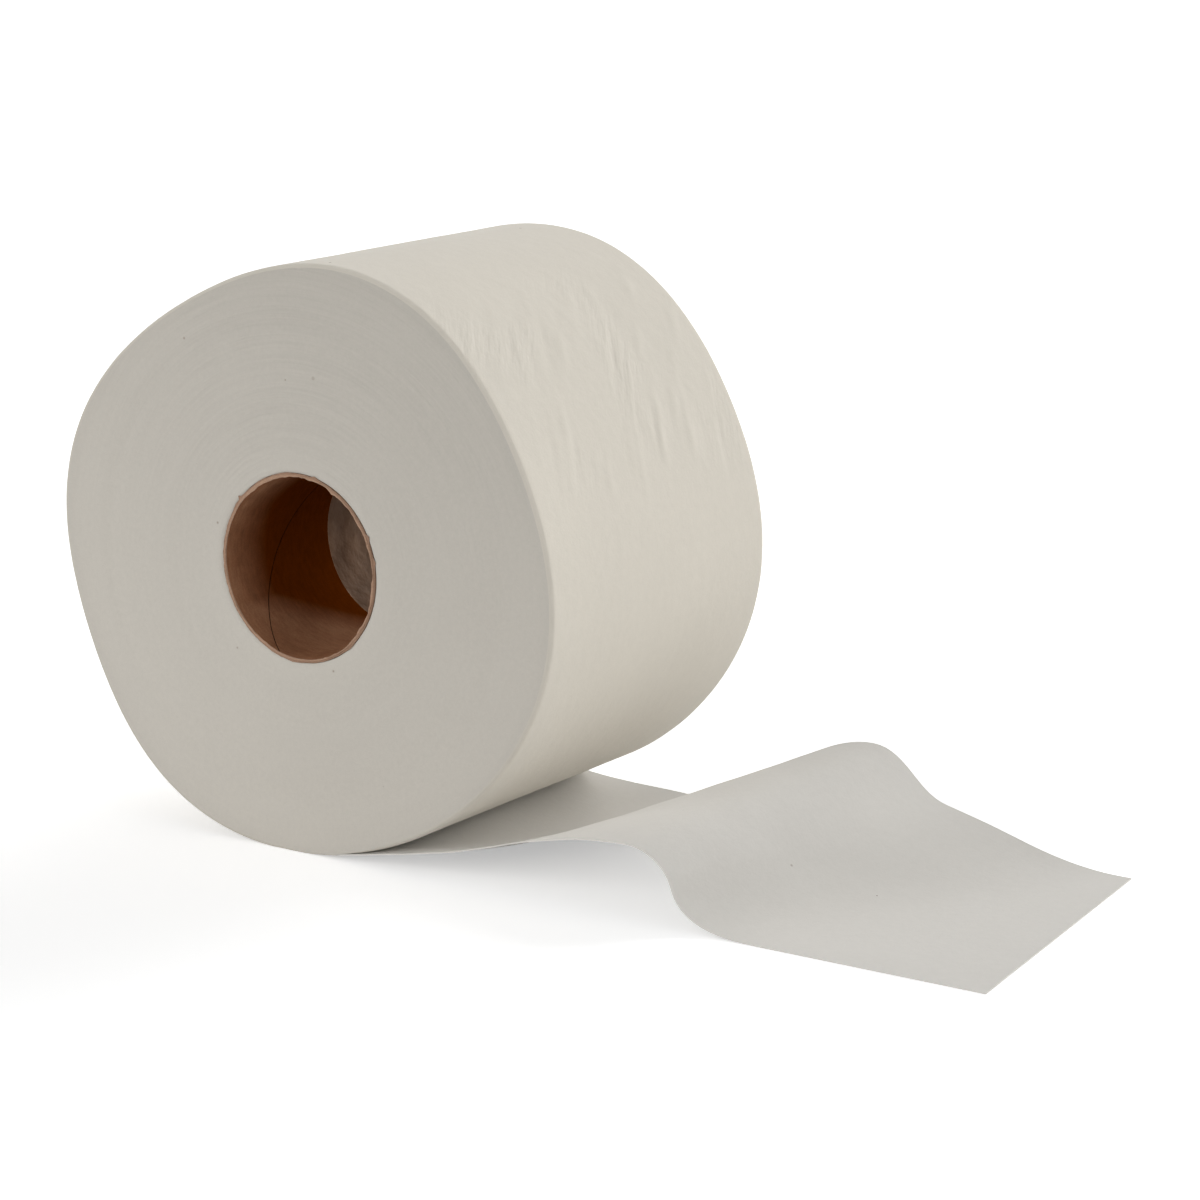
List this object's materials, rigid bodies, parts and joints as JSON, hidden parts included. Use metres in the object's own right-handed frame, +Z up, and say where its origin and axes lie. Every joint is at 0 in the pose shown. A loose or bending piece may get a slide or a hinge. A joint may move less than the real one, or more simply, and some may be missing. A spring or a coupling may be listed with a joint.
{
  "type": "toilet paper roll",
  "caption": "Roll of soft tissue on a short brown paperboard tube, lying on its side with the loose end run out in a low hump to a straight cut.",
  "frame": {"origin": "centre of the tube's mouth, in the plane of the roll's front end face", "axes": "+Y along the winding axis into the roll, +X towards the cut of the loose end, +Z up from the surface that the roll lies on"},
  "size_m": [0.2532, 0.09, 0.1402],
  "materials": {
    "tissue": "matt, soft, faintly streaked",
    "paperboard": "matt kraft"
  },
  "bodies": {
    "root": {"tissue_roll": "tissue", "core": "paperboard"}
  },
  "joints": []
}
